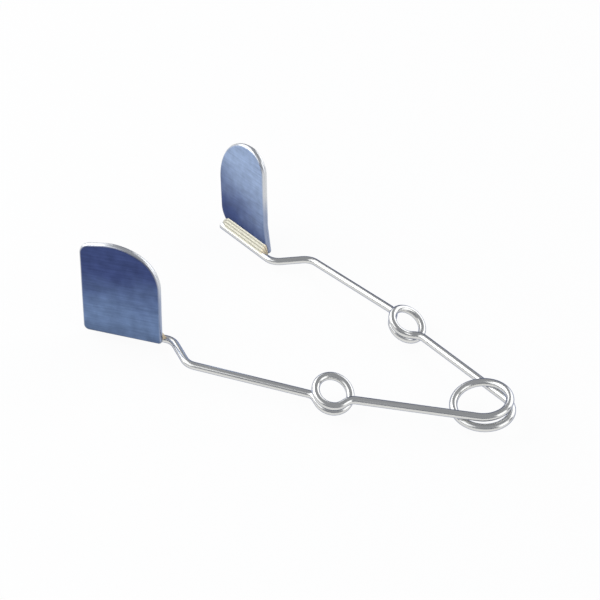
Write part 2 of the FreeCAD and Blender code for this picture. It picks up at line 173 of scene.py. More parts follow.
class BladeSettings(bpy.types.PropertyGroup):
    width: FloatVectorProperty(
        name="Width", description="Blades, left and right, length along the foot",
        default=(17.0 * MM, 17.5 * MM), size=2, subtype="NONE", unit="LENGTH", precision=5)
    height: FloatVectorProperty(
        name="Height", description="Blades, left and right, foot to crown",
        default=(21.3 * MM, 24.9 * MM), size=2, subtype="NONE", unit="LENGTH", precision=5)
    sheet: FloatProperty(
        name="Sheet", description="Thickness of the sheet", default=1.45 * MM, unit="LENGTH", precision=5)
    lean: FloatProperty(
        name="Lean", description="Inward lean of the blades", default=math.radians(2.5), subtype="ANGLE")
    tip_rise: FloatVectorProperty(
        name="Tip rise", description="Height of the tip edge before its corner is rounded",
        default=(20.3 * MM, 17.2 * MM), size=2, subtype="NONE", unit="LENGTH", precision=5)
    heel_rise: FloatVectorProperty(
        name="Heel rise", description="Height of the heel edge before its corner is rounded",
        default=(17.6 * MM, 22.5 * MM), size=2, subtype="NONE", unit="LENGTH", precision=5)
    crown_front: FloatVectorProperty(
        name="Crown front", description="Heel to the front end of the level crown",
        default=(11.2 * MM, 10.9 * MM), size=2, subtype="NONE", unit="LENGTH", precision=5)
    crown_back: FloatVectorProperty(
        name="Crown back", description="Heel to the back end of the level crown",
        default=(7.2 * MM, 4.5 * MM), size=2, subtype="NONE", unit="LENGTH", precision=5)
    heel_inset: FloatVectorProperty(
        name="Heel inset", description="How far the heel edge steps in above its flare",
        default=(0.1 * MM, 1.1 * MM), size=2, subtype="NONE", unit="LENGTH", precision=5)
    heel_flare: FloatProperty(
        name="Heel flare", description="Height of the flare at the foot of the heel edge",
        default=7.0 * MM, unit="LENGTH", precision=5)
    left_corners: FloatVectorProperty(
        name="Left corners", description="Left blade, radii at foot, tip, crown front, crown back and heel",
        default=(1.2 * MM, 2.4 * MM, 12.0 * MM, 12.0 * MM, 8.0 * MM),
        size=5, subtype="NONE", unit="LENGTH", precision=5)
    right_corners: FloatVectorProperty(
        name="Right corners", description="Right blade, radii at foot, tip, crown front, crown back and heel",
        default=(5.0 * MM, 14.0 * MM, 10.5 * MM, 4.9 * MM, 4.9 * MM),
        size=5, subtype="NONE", unit="LENGTH", precision=5)
    edge_round: FloatProperty(
        name="Edge round", description="Polished rounding of the edges",
        default=0.65 * MM, unit="LENGTH", precision=5)
    seat: FloatProperty(
        name="Seat", description="Middle of the foot wire above the foot edge",
        default=0.15 * MM, unit="LENGTH", precision=5)
    film: FloatProperty(
        name="Film", description="Braze between the foot wire and the sheet",
        default=0.03 * MM, unit="LENGTH", precision=5)
    station: FloatProperty(
        name="Station", description="Spacing of the points along the outline of a blade",
        default=0.25 * MM, unit="LENGTH", precision=5)
    # Painted reflection: the blue of each blade's face stands in for a blue backdrop mirrored in it, lighter
    # or darker from foot to crown
    left_foot_reflection: FloatVectorProperty(
        name="Left foot colour", description="Left blade, cast of the satin face near its foot",
        default=colour("#6c82a8"), subtype="COLOR", min=0, max=1)
    left_crown_reflection: FloatVectorProperty(
        name="Left crown colour", description="Left blade, cast of the satin face near its crown",
        default=colour("#414e7c"), subtype="COLOR", min=0, max=1)
    right_foot_reflection: FloatVectorProperty(
        name="Right foot colour", description="Right blade, cast of the satin face near its foot",
        default=colour("#2c4076"), subtype="COLOR", min=0, max=1)
    right_crown_reflection: FloatVectorProperty(
        name="Right crown colour", description="Right blade, cast of the satin face near its crown",
        default=colour("#9bafd0"), subtype="COLOR", min=0, max=1)
    left_reflection_fade: FloatVectorProperty(
        name="Left fade", description="Left blade, slant of the cast and heights in mm of its change",
        default=(0.1, 5.0, 17.0), subtype="NONE")
    right_reflection_fade: FloatVectorProperty(
        name="Right fade", description="Right blade, slant of the cast and heights in mm of its change",
        default=(-0.45, -4.0, 17.5), subtype="NONE")
    # Painted reflection: the polished edge is painted blue-grey low on the blade and lighter towards the
    # crown
    low_edge_reflection: FloatVectorProperty(
        name="Edge colour at the foot", description="Colour of the polished edge low on the blade",
        default=colour("#98a3bb"), subtype="COLOR", min=0, max=1)
    edge_tone: FloatVectorProperty(
        name="Edge colour", description="Reflection colour of the polished edges",
        default=colour("#d4d6d8"), subtype="COLOR", min=0, max=1)


class BrazeSettings(bpy.types.PropertyGroup):
    height: FloatProperty(
        name="Braze height", description="Height of the fillet up the blade",
        default=2.6 * MM, unit="LENGTH", precision=5)
    heel: FloatProperty(
        name="Braze heel", description="Braze that runs out along the wire past the heel",
        default=0.6 * MM, unit="LENGTH", precision=5)
    tip: FloatProperty(
        name="Braze tip", description="Bare foot between the crest of the braze and the tip",
        default=3.0 * MM, unit="LENGTH", precision=5)
    slope: FloatProperty(
        name="Braze slope", description="Slope of the ends of the fillet",
        default=1.2 * MM, unit="LENGTH", precision=5)
    tail: FloatProperty(
        name="Braze tail", description="Thin run of the braze past its slope, towards the tip of the wire",
        default=0.8 * MM, unit="LENGTH", precision=5)
    groove_depth: FloatProperty(
        name="Groove depth", description="Depth of the file grooves",
        default=0.05 * MM, unit="LENGTH", precision=5)
    sunk: FloatProperty(
        name="Sunk", description="How far the back of the fillet lies inside the sheet",
        default=0.05 * MM, unit="LENGTH", precision=5)
    end: FloatProperty(
        name="Braze end", description="Length over which an end of the fillet is rounded",
        default=0.8 * MM, unit="LENGTH", precision=5)
    tone: FloatVectorProperty(
        name="Braze colour", description="Colour of the filed silver braze", default=colour("#d3d0bf"),
        subtype="COLOR", min=0, max=1)
    # Painted shade: a darker colour laid in the file grooves, where shade falls
    groove_shade_tone: FloatVectorProperty(
        name="Groove colour", description="Colour of the dull film left in the grooves",
        default=colour("#a6a391"), subtype="COLOR", min=0, max=1)
    bead_tone: FloatVectorProperty(
        name="Bead colour", description="Colour of the heat-tinted bead at the heel",
        default=colour("#ead8b6"), subtype="COLOR", min=0, max=1)


class StageSettings(bpy.types.PropertyGroup):
    azimuth: FloatProperty(
        name="Camera azimuth", description="Camera's turn from looking along +Y", default=math.radians(29.78),
        subtype="ANGLE")
    elevation: FloatProperty(
        name="Camera elevation", description="Camera's height angle",
        default=math.radians(37.16), subtype="ANGLE")
    roll: FloatProperty(
        name="Camera roll", description="Camera's roll", default=math.radians(4.45), subtype="ANGLE")
    distance: FloatProperty(
        name="Camera distance", description="Camera to its aim point", default=254.75 * MM, unit="LENGTH")
    focal_pixels: FloatProperty(
        name="Focal length", description="Focal length in pixels of the 600 pixel frame", default=1247.1)
    offset: FloatVectorProperty(
        name="Frame offset", description="Aim point from the middle of the frame, in pixels",
        default=(-13.07, -5.02), size=2)
    floor_level: FloatProperty(
        name="Floor level", description="Height of the table under the dilator",
        default=-4.4 * MM, unit="LENGTH", precision=5)
    floor_tone: FloatVectorProperty(
        name="Floor colour", description="Colour of the table", default=colour("#f4f4f4"), subtype="COLOR",
        min=0, max=1)
    room_tone: FloatVectorProperty(
        name="Room colour", description="Dim room low down behind the table",
        default=colour("#3a4263"), subtype="COLOR", min=0, max=1)
    ceiling_tone: FloatVectorProperty(
        name="Ceiling colour", description="Grey room overhead", default=colour("#a3a5aa"), subtype="COLOR",
        min=0, max=1)


# The middle line of the wire


def tipped(points, wire):
    """Tips points of the arms' plane about Y by the table tilt t: x cos t - z sin t and x sin t + z cos t."""
    cosine, sine = math.cos(wire.table_tilt), math.sin(wire.table_tilt)
    return np.asarray(points) @ np.array([[cosine, 0, sine], [0, 1, 0], [-sine, 0, cosine]])


def apex_points(wire):
    """Apex coil, on its own tilted axes: x = R cos a + sx n, y = R sin a + sy n and z = sz n, n in turns."""
    nod, bank = wire.apex_tilt
    along = np.array([math.cos(nod), 0, -math.sin(nod)])
    upright = np.array([math.sin(nod), 0, math.cos(nod)])
    across = np.array([0, math.cos(bank), 0]) + upright * math.sin(bank)
    axis = upright * math.cos(bank) - np.array([0, math.sin(bank), 0])
    share = np.linspace(0, 1, APEX_POINTS)
    total = (3 * math.pi - 2 * wire.half_spread) / (2 * math.pi)
    turned = wire.half_spread - math.pi / 2 + share * total * 2 * math.pi
    step = ((share - 0.5) * total)[:, None] * np.array(wire.apex_step)
    local = wire.apex_radius * heading(turned) + step
    return local @ np.array([along, across, axis]) - np.array([0, 0, wire.apex_drop])


def small_turn_points(wire, index, centre, front, back):
    """Small turn: a full ring, climbing by one pitch and tilted about two axes, between two lead bends."""
    radius, lead, offset = wire.turn_radius, wire.turn_lead, wire.turn_offset[index]
    nod, bank = wire.turn_nod[index], wire.turn_bank[index]
    reach = math.sqrt((radius + lead) ** 2 - (lead + offset) ** 2)
    meet = math.atan2(lead + offset, reach)
    lead_angle = math.pi / 2 - meet
    start, end = back + math.pi + meet, front + 4 * math.pi - meet
    middle = (front + back) / 2
    along, across = heading(middle), heading(middle + math.pi / 2)

    def tilted(plan, share, weight):
        """Tilts a flat loop: z = pitch (share - 1/2) - x sin nod + y sin bank, narrowed by the cosines."""
        x, y = plan @ along, plan @ across
        climb = wire.turn_pitch * (share - 0.5) - x * math.sin(nod) + y * math.sin(bank)
        narrow_x = 1 - weight + weight * math.cos(nod)
        narrow_y = 1 - weight + weight * math.cos(bank)
        placed = centre + (x * narrow_x)[:, None] * along + (y * narrow_y)[:, None] * across
        placed[:, 2] += climb
        return placed

    share = (np.arange(RING_POINTS) + RING_MARGIN) / (RING_POINTS - 1 + 2 * RING_MARGIN)
    ring = tilted(heading(start + (end - start) * share) * radius, share, np.ones(RING_POINTS))
    ends = np.array([0.0, 1.0])
    levels = tilted(heading(start + (end - start) * ends) * radius, ends, np.ones(2))[:, 2]
    # Two points on each lead bend, as shares of it from the line of the arm
    fade = np.array([0.0, 0.45])
    hub_in = -heading(back) * reach - heading(back + math.pi / 2) * (offset + lead)
    hub_out = heading(front) * reach - heading(front + math.pi / 2) * (offset + lead)
    lead_in = tilted(hub_in + heading(back + math.pi / 2 - lead_angle * fade) * lead, 0.0, fade)
    fade = fade[::-1]
    lead_out = tilted(hub_out + heading(front + math.pi / 2 + lead_angle * fade) * lead, 0.0, fade)
    lead_in[:, 2] = levels[0]
    lead_out[:, 2] = levels[1]
    return np.vstack([lead_in, ring, lead_out])


def arm_layout(wire, blade, index, start):
    """Key points of one arm from the apex outwards: small turn, crank corner, knee, heel, tip, heading."""
    out = 1 if index else -1
    front = -out * wire.half_spread
    back = front + out * wire.arm_bend
    foot = back - out * wire.toe[index]
    offset = wire.turn_offset[index]
    centre = start - heading(front) * wire.front_arm + heading(front + math.pi / 2) * offset
    centre[2] = -wire.turn_drop[index]
    turn = small_turn_points(wire, index, centre, front, back)
    crank = wire.crank_angle[index]
    inwards = back + out * crank
    first_cut = wire.crank_radius * math.tan(crank / 2)
    second_cut = wire.crank_radius * math.tan(abs(inwards - foot) / 2)
    corner = centre - heading(back + math.pi / 2) * offset - heading(back) * (wire.back_arm + first_cut)
    knee = corner - heading(inwards) * (first_cut + wire.crank_length + second_cut)
    heel = knee - heading(foot) * (second_cut + wire.foot_lead[index])
    tip = heel - heading(foot) * (blade.width[index] + wire.foot_overrun)
    rise = wire.foot_rise[index]
    before, after = np.linalg.norm(corner - turn[0]), np.linalg.norm(knee - corner)
    corner[2] = turn[0][2] + (rise - turn[0][2]) * before / (before + after)
    knee[2] = heel[2] = tip[2] = rise
    return turn, corner, knee, heel, tip, foot


def straight(a, b, spacing):
    """Evenly spaced points from a to b: a + (b - a) t."""
    count = max(2, int(np.linalg.norm(b - a) / spacing) + 1)
    return a + (b - a) * np.linspace(0, 1, count)[:, None]


def spline(points, first, last, spacing):
    """Cubic spline through the points, timed by chord length, with given unit directions at its ends.

    Its second derivatives m solve h0 m0 + 2 (h0 + h1) m1 + h1 m2 = 6 (d1 - d0), with d the chords' slopes.
    """
    chord = np.linalg.norm(np.diff(points, axis=0), axis=1)
    marks = np.concatenate([[0], np.cumsum(chord)])
    slope = np.diff(points, axis=0) / chord[:, None]
    slopes = np.vstack([first, slope, last])
    widths = np.concatenate([[0], chord, [0]])
    matrix = np.diag(2 * (widths[:-1] + widths[1:])) + np.diag(chord, 1) + np.diag(chord, -1)
    bend = np.linalg.solve(matrix, 6 * np.diff(slopes, axis=0))
    times = np.linspace(0, marks[-1], int(marks[-1] / spacing) + 1)
    piece = np.clip(np.searchsorted(marks, times, side="right") - 1, 0, len(chord) - 1)
    h = chord[piece][:, None]
    a = (marks[piece + 1] - times)[:, None]
    c = (times - marks[piece])[:, None]
    low, high = bend[piece], bend[piece + 1]
    cubic = (low * a ** 3 + high * c ** 3) / (6 * h)
    return cubic + (points[piece] / h - low * h / 6) * a + (points[piece + 1] / h - high * h / 6) * c


def rounded_run(points, radius, spacing):
    """Straight wire through the points with each corner bent to the radius, as points."""
    runs = []
    at = points[0]
    for before, corner, after in zip(points, points[1:], points[2:]):
        enter, leave = unit(before - corner), unit(after - corner)
        half = (math.pi - math.acos(float(enter @ leave))) / 2
        cut = radius * math.tan(half)
        hub = corner + unit(enter + leave) * radius / math.cos(half)
        down, side = -unit(enter + leave), unit(leave - enter)
        turned = np.linspace(-half, half, max(4, int(2 * half * radius / spacing)))[:, None]
        runs.append(straight(at, corner + enter * cut, spacing)[:-1])
        runs.append(hub + radius * (np.cos(turned) * down + np.sin(turned) * side))
        at = corner + leave * cut
    runs.append(straight(at, points[-1], spacing)[1:])
    return np.vstack(runs)


def wire_path(wire, blade):
    """Middle line of the whole wire, from the left tip round the apex coil to the right tip, as it lies."""
    apex = apex_points(wire)
    halves, inward = [], []
    for index, join in enumerate((apex[0], apex[-1])):
        turn, corner, knee, _, tip, _ = arm_layout(wire, blade, index, join)
        run = rounded_run([tip, knee, corner, turn[0]], wire.crank_radius, wire.station)
        loop = spline(turn, unit(turn[0] - corner), unit(join - turn[-1]), wire.station)
        halves.append(np.vstack([run[:-1], loop[:-1], straight(turn[-1], join, wire.station)[:-1]]))
        inward.append(unit(join - turn[-1]))
    coil = spline(apex, inward[0], -inward[1], wire.station)
    return tipped(np.vstack([halves[0], coil, halves[1][::-1]]), wire)


def blade_axes(wire, blade, index):
    """Heel point of a blade on its inner face, and its directions along the foot, upwards and outwards."""
    _, _, _, heel, _, foot = arm_layout(wire, blade, index, apex_points(wire)[-1 if index else 0])
    along = -heading(foot)
    level_out = np.cross(along, UP) * (1 if index else -1)
    up = UP * math.cos(blade.lean) - level_out * math.sin(blade.lean)
    out = level_out * math.cos(blade.lean) + UP * math.sin(blade.lean)
    origin = heel + out * (wire.diameter / 2 + blade.film) - up * blade.seat
    return tipped([origin, along, up, out], wire)


# Meshes


def closed_mesh(name, rings):
    """Closed mesh of a stack of rings: quads between neighbouring rings and a fan over each end."""
    count, sides, _ = rings.shape
    row = np.arange(count - 1)[:, None] * sides
    around = np.arange(sides)
    after = (around + 1) % sides
    quads = np.stack([row + around, row + after, row + sides + after, row + sides + around], -1)
    quads = quads.reshape(-1, 4)
    points = np.vstack([rings.reshape(-1, 3), rings[0].mean(0), rings[-1].mean(0)])
    first, last = count * sides, count * sides + 1
    top = (count - 1) * sides
    fans = np.vstack([
        np.column_stack([np.full(sides, first), after, around]),
        np.column_stack([np.full(sides, last), top + around, top + after])])
    # The faces point outwards if the volume that they enclose is positive
    p, q, r, s = (points[quads[:, corner]] for corner in range(4))
    if (p * (np.cross(q, r) + np.cross(r, s))).sum() < 0:
        quads, fans = quads[:, ::-1], fans[:, ::-1]
    mesh = bpy.data.meshes.new(name)
    mesh.from_pydata(points.tolist(), [], quads.tolist() + fans.tolist())
    mesh.polygons.foreach_set("use_smooth", np.ones(len(mesh.polygons), bool))
    mesh.update()
    return mesh


def add_values(mesh, name, values):
    """Stores one number or one vector per vertex."""
    values = np.asarray(values, np.float32)
    if values.ndim == 1:
        mesh.attributes.new(name, "FLOAT", "POINT").data.foreach_set("value", values)
    else:
        mesh.attributes.new(name, "FLOAT_VECTOR", "POINT").data.foreach_set("vector", values.ravel())


def add_piece(name, mesh, material, slot, *nodes):
    """Puts a finished mesh in the scene in place of its CAD nodes."""
    piece = bpy.data.objects.new(name, mesh)
    bpy.context.scene.collection.objects.link(piece)
    mesh.materials.append(material)
    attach(piece, "root")
    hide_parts(*nodes)


def end_stations(length):
    """Distances from an end, closer together near it: length (1 - cos a), a from 0 to a right angle."""
    return length * (1 - np.cos(np.linspace(0, math.pi / 2, END_STATIONS, endpoint=False)))


def tube_rings(path, radii, sides):
    """Circles carried along a path: p + r (cos t * level normal + sin t * upper normal)."""
    run = np.gradient(path, axis=0)
    run /= np.linalg.norm(run, axis=1)[:, None]
    level = np.cross(run, UP)
    level /= np.linalg.norm(level, axis=1)[:, None]
    upper = np.cross(level, run)
    turned = np.linspace(0, 2 * math.pi, sides, endpoint=False)[None, :, None]
    circles = np.cos(turned) * level[:, None] + np.sin(turned) * upper[:, None]
    return path[:, None] + radii[:, None, None] * circles


def rounded_outline(corners, radii, spacing):
    """Closed outline through the corners, each bent to its radius, resampled at even steps of its length."""
    arcs = []
    for corner, before, after, radius in zip(corners, np.roll(corners, 1, 0), np.roll(corners, -1, 0), radii):
        enter, leave = unit(before - corner), unit(after - corner)
        half = (math.pi - math.acos(enter @ leave)) / 2
        middle, side = unit(enter + leave), unit(leave - enter)
        turned = np.linspace(-half, half, ARC_STATIONS)[:, None]
        hub = corner + middle * radius / math.cos(half)
        arcs.append(hub + radius * (np.sin(turned) * side - np.cos(turned) * middle))
    closed = np.vstack([*arcs, arcs[0][:1]])
    steps = np.concatenate([[0], np.cumsum(np.linalg.norm(np.diff(closed, axis=0), axis=1))])
    even = np.linspace(0, steps[-1], int(steps[-1] / spacing), endpoint=False)
    return np.column_stack([np.interp(even, steps, closed[:, k]) for k in (0, 1)])


def wire_surface(wire, blade):
    """Wire: circles along its middle line, of radius R - e + sqrt(e^2 - (e - d)^2) at d from an end, up to e.

    Returns the rings, and for each point its distance along the wire and its place in the section, in mm.
    """
    path = wire_path(wire, blade)
    run = np.concatenate([[0], np.cumsum(np.linalg.norm(np.diff(path, axis=0), axis=1))])
    e = wire.end_round
    end = end_stations(e)
    stations = np.unique(np.concatenate([end, run[(run > e) & (run < run[-1] - e)], run[-1] - end]))
    near = np.minimum(np.minimum(stations, stations[-1] - stations), e)
    radii = wire.diameter / 2 - e + np.sqrt(np.maximum(e ** 2 - (e - near) ** 2, 0))
    path = np.column_stack([np.interp(stations, run, path[:, k]) for k in range(3)])
    around = np.linspace(0, 2 * math.pi, wire.sides, endpoint=False)
    places = np.empty((len(stations), wire.sides, 3))
    places[:, :, 0] = stations[:, None]
    places[:, :, 1:] = np.column_stack([np.cos(around), np.sin(around)]) * wire.diameter / 2
    ends = np.array([[0, 0, 0], [stations[-1], 0, 0]])
    return tube_rings(path, radii, wire.sides), np.vstack([places.reshape(-1, 3), ends]) / MM


def blade_surface(wire, blade, index):
    """Blade: its outline carried from the middle of one face, round the edge, to the middle of the other.

    Over the edge's rounding e, at angle a, it lies e (1 - sin a) inside the outline and e (1 - cos a) deep.
    Returns the rings, each point's place on the sheet in mm, and how polished each point is, from 0 to 1.
    """
    width, height, inset = blade.width[index], blade.height[index], blade.heel_inset[index]
    corners = np.array([
        (0, 0), (width, 0), (width, blade.tip_rise[index]), (blade.crown_front[index], height),
        (blade.crown_back[index], height), (inset, blade.heel_rise[index]), (inset, blade.heel_flare)])
    # The two corners at the heel are as sharp as the edge's rounding lets them be
    sharp = blade.edge_round * 1.05
    radii = (sharp, *(blade.left_corners, blade.right_corners)[index], sharp)
    outline = rounded_outline(corners, radii, blade.station)
    tangent = np.roll(outline, -1, 0) - np.roll(outline, 1, 0)
    tangent /= np.linalg.norm(tangent, axis=1)[:, None]
    inward = np.column_stack([-tangent[:, 1], tangent[:, 0]])
    e = blade.edge_round
    turned = np.linspace(0, math.pi / 2, 8)
    inner = outline + inward * e
    middle = inner.mean(0)
    # Rings on the flat face, as shares of the way from its middle to the edge's rounding
    shares = np.array([0.02, 0.2, 0.4, 0.6, 0.8, 0.93])
    flat = middle + (inner - middle) * shares[:, None, None]
    rim = outline + inward * (e * (1 - np.sin(turned)))[:, None, None]
    plan = np.concatenate([flat, rim, rim[::-1], flat[::-1]])
    depth = np.concatenate([np.zeros(len(shares)), e * (1 - np.cos(turned))])
    depth = np.concatenate([depth, blade.sheet - depth[::-1]])
    # The wheel polishes the edge from 18 degrees of its rounding, and fully from 48 degrees
    polish = np.concatenate([np.zeros(len(shares)), np.clip(turned / math.radians(30) - 0.6, 0, 1)])
    polish = np.concatenate([polish, polish[::-1]])
    depths = np.broadcast_to(depth[:, None, None], (*plan.shape[:2], 1))
    origin, along, up, out = blade_axes(wire, blade, index)
    rings = origin + plan[..., :1] * along + plan[..., 1:] * up + depths * out
    places = np.concatenate([plan, depths], -1).reshape(-1, 3)
    poles = np.array([[*middle, 0], [*middle, blade.sheet]])
    return rings, np.vstack([places, poles]) / MM, np.append(np.repeat(polish, len(outline)), (0, 0))


def braze_surface(wire, blade, braze, index):
    """Braze fillet: a section with grooves of depth cos t, carried along the foot and drawn in at both ends.

    The section's face is straight from a crest on the sheet to a toe on the wire. At d from an end it shrinks
    to the corner by sqrt(1 - (1 - d)^2), with d in end lengths. Returns the rings, and how much of each point
    is groove and how much is bead, from 0 to 1.
    """
    radius = wire.diameter / 2
    seat = radius + blade.film
    # Section in height above the foot edge and distance in from the sheet
    crest = np.array([braze.height, -braze.sunk])
    # The face meets the wire where the wire's surface has turned this far up from level
    run_out = math.radians(30)
    toe = np.array([blade.seat + radius * math.sin(run_out), seat + radius * math.cos(run_out)])
    slope = unit(toe - crest)
    outward = np.array([slope[1], -slope[0]])
    share = np.linspace(0, 1, 49)
    # The first groove and the step to the next, as shares of the face, which stays plain near its two edges
    first, pitch = 0.24, 0.26
    wave = np.clip(np.cos((share - first) * 2 * math.pi / pitch), 0, 1) * ((share > 0.1) & (share < 0.9))
    face = crest + (toe - crest) * share[:, None] - outward * (wave * braze.groove_depth)[:, None]
    foot = 0.3 * MM
    section = np.vstack([face, [[blade.seat, seat], [foot, -braze.sunk]]])
    low, high = -braze.heel, blade.width[index] - braze.tip + braze.slope + braze.tail
    end = end_stations(braze.end)
    between = np.linspace(low + braze.end, high - braze.end, 40)
    place = np.concatenate([low + end, between, (high - end)[::-1]])
    near = np.clip(np.minimum(place - low, high - place) / braze.end, 0, 1)
    # Shares of the section that are left at the very end of its rounding and of its slope
    least, lowest = 0.03, 0.35
    round_end = np.sqrt(1 - (1 - near) ** 2) * (1 - least) + least
    rise, fall = (place - low) / braze.slope, (high - place) / (braze.slope + braze.tail)
    sloped = np.clip(np.minimum(rise, fall), 0, 1)
    # The point in the corner between wire and sheet that the section shrinks to
    corner = np.array([blade.seat + 0.3 * MM, 0.35 * MM])
    left = round_end * (lowest + (1 - lowest) * sloped)
    plan = corner + (section - corner) * left[:, None, None]
    origin, along, up, out = blade_axes(wire, blade, index)
    rings = origin + place[:, None, None] * along + plan[..., :1] * up - plan[..., 1:] * out
    groove = np.tile([*wave, 0, 0], len(place))
    # The bead is whole for its first 0.6 mm from the heel and has faded out after 2.2 mm
    bead = np.repeat(np.clip(1.4 - (place - low) / (1.6 * MM), 0, 1), len(section))
    return rings, np.append(groove, (0, 0)), np.append(bead, (1, 0))


# Materials


def node(tree, kind, inputs=None, **settings):
    """Adds a node: settings go on the node, inputs on its sockets by name or number, as values or links."""
    made = tree.nodes.new(kind)
    for key, value in settings.items():
        setattr(made, key, value)
    for key, value in (inputs or {}).items():
        if isinstance(value, bpy.types.NodeSocket):
            tree.links.new(value, made.inputs[key])
        else:
            made.inputs[key].default_value = value
    return made


def new_material(name):
    """A material with an empty node tree."""
    material = bpy.data.materials.new(name)
    material.use_nodes = True
    material.node_tree.nodes.clear()
    return material, material.node_tree


def opaque(tone):
    """A colour with full alpha, as a node's socket takes it."""
    return (*tone, 1.0)


def drawn_wire_material(tone, blue_edge_reflection):
    """Bright drawn spring steel: the die leaves fine lines along the wire, which make its highlight long."""
    material, tree = new_material("spring steel wire, bright drawn")
    along = node(tree, "ShaderNodeAttribute", attribute_name="wire")
    # Die lines: 0.05 mm apart on the real wire, drawn 0.25 mm apart and 8 mm long so that they show
    lines = node(tree, "ShaderNodeTexNoise", {
        "Vector": node(tree, "ShaderNodeMapping", {
            "Vector": along.outputs["Vector"], "Scale": (0.12, 4.0, 4.0)}).outputs[0],
        "Scale": 1.0, "Detail": 3.0})
    dark, bright = np.array(tone) * 0.86, np.minimum(np.array(tone) * 1.08, 1)
    tint = node(tree, "ShaderNodeMix", {
        "Factor": lines.outputs["Fac"], 6: opaque(dark), 7: opaque(bright)}, data_type="RGBA")
    rough = node(tree, "ShaderNodeMapRange", {
        "Value": lines.outputs["Fac"], "From Min": 0.3, "From Max": 0.7, "To Min": 0.16, "To Max": 0.28})
    bump = node(tree, "ShaderNodeBump", {
        "Height": lines.outputs["Fac"], "Strength": 0.25, "Distance": 0.01 * MM})
    # The specular tint paints a blue reflection along the wire's outlines
    shader = node(tree, "ShaderNodeBsdfPrincipled", {
        "Base Color": tint.outputs[2], "Metallic": 1.0, "Roughness": rough.outputs[0],
        "Normal": bump.outputs[0], "Specular Tint": opaque(blue_edge_reflection)})
    node(tree, "ShaderNodeOutputMaterial", {"Surface": shader.outputs[0]})
    return material


